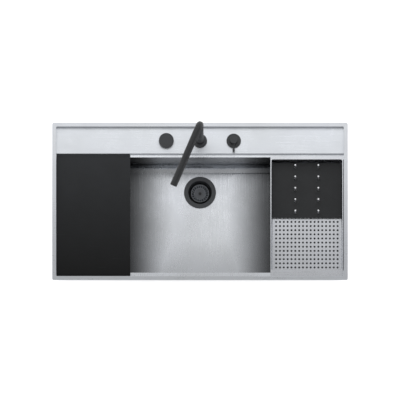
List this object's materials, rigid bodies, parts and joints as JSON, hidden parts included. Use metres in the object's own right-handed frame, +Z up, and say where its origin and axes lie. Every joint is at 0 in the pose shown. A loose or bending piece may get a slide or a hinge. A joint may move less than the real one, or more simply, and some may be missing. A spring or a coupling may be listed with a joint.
{
  "type": "workstation kitchen sink",
  "caption": "Wide steel workstation sink with a tap deck, a chopping board and a perforated drainer tray that slide over the bowl, a peg rack and a swivel tap set.",
  "frame": {"origin": "plan centre of the worktop seat, the plane under the rim on which the sink hangs", "axes": "+X to the right, +Y to the tap side at the rear, +Z up"},
  "size_m": [1, 0.54, 0.651],
  "materials": {
    "satin_steel": "satin brushed stainless steel",
    "polished_steel": "polished stainless steel",
    "zinc_steel": "plain machined steel",
    "gunmetal": "satin gunmetal coating",
    "black_laminate": "matt black compact laminate",
    "rubber": "soft black rubber",
    "black_plastic": "moulded black plastic",
    "valve_plastic": "pale moulded valve body",
    "brass": "machined brass"
  },
  "bodies": {
    "basin": {"rim_frame": "satin_steel", "tap_deck": "satin_steel", "bowl": "satin_steel", "rim_seal": "rubber", "clip_blocks": "satin_steel", "clips": "zinc_steel", "clip_screws": "zinc_steel", "sound_pads": "rubber", "overflow_grille": "gunmetal", "overflow_gasket": "rubber", "overflow_housing": "black_plastic", "overflow_screws": "zinc_steel", "waste_flange": "gunmetal", "upper_gasket": "rubber", "lower_gasket": "rubber", "waste_body": "black_plastic", "centre_screw": "zinc_steel", "cable_gland": "black_plastic", "tap_gaskets": "rubber", "tap_washers": "zinc_steel", "tap_nuts": "brass", "knob_base": "gunmetal", "cable_drum": "black_plastic", "spout_base": "gunmetal", "mixer_base": "gunmetal", "cartridge": "valve_plastic", "inlet_block": "brass"},
    "knob": {"waste_knob": "gunmetal", "knob_spindle": "brass"},
    "basket": {"strainer_basket": "gunmetal", "basket_seal": "rubber", "lift_pin": "zinc_steel"},
    "spout": {"spout": "gunmetal", "spout_rings": "rubber", "aerator": "black_plastic"},
    "hub": {"mixer_hub": "gunmetal", "mixer_stem": "zinc_steel"},
    "lever": {"lever": "gunmetal"},
    "board": {"chopping_board": "black_laminate", "board_pads": "rubber"},
    "tray": {"drainer_tray": "satin_steel"},
    "peg_rack": {"peg_panel": "black_laminate", "pegs": "polished_steel", "peg_screws": "zinc_steel", "panel_feet": "rubber"}
  },
  "joints": [
    {"name": "spout_swivel", "type": "hinge", "parent": "basin", "child": "spout", "pos_m": [0, 0.2105, -0.011], "axis": [0, 0, 1], "range_deg": [-57, 103]},
    {"name": "knob_turn", "type": "hinge", "parent": "basin", "child": "knob", "pos_m": [-0.114, 0.2105, -0.011], "axis": [0, 0, -1], "range_deg": [0, 90]},
    {"name": "basket_lift", "type": "slide", "parent": "basin", "child": "basket", "axis": [0, 0, 1], "range_m": [0, 0.008]},
    {"name": "mixer_turn", "type": "hinge", "parent": "basin", "child": "hub", "pos_m": [0.114, 0.2105, -0.01], "axis": [0, 0, 1], "range_deg": [-45, 45]},
    {"name": "lever_lift", "type": "hinge", "parent": "hub", "child": "lever", "pos_m": [0.114, 0.2105, 0], "axis": [-1, 0, 0], "range_deg": [0, 15]},
    {"name": "board_slide", "type": "slide", "parent": "basin", "child": "board", "axis": [1, 0, 0], "range_m": [0, 0.47]},
    {"name": "tray_slide", "type": "slide", "parent": "basin", "child": "tray", "axis": [1, 0, 0], "range_m": [-0.47, 0]},
    {"name": "rack_lift", "type": "slide", "parent": "tray", "child": "peg_rack", "axis": [0, 0, 1], "range_m": [0, 0.1]}
  ],
  "couplings": [
    {"joint": "basket_lift", "follows": "knob_turn", "m_per_rad": 0.00509}
  ]
}
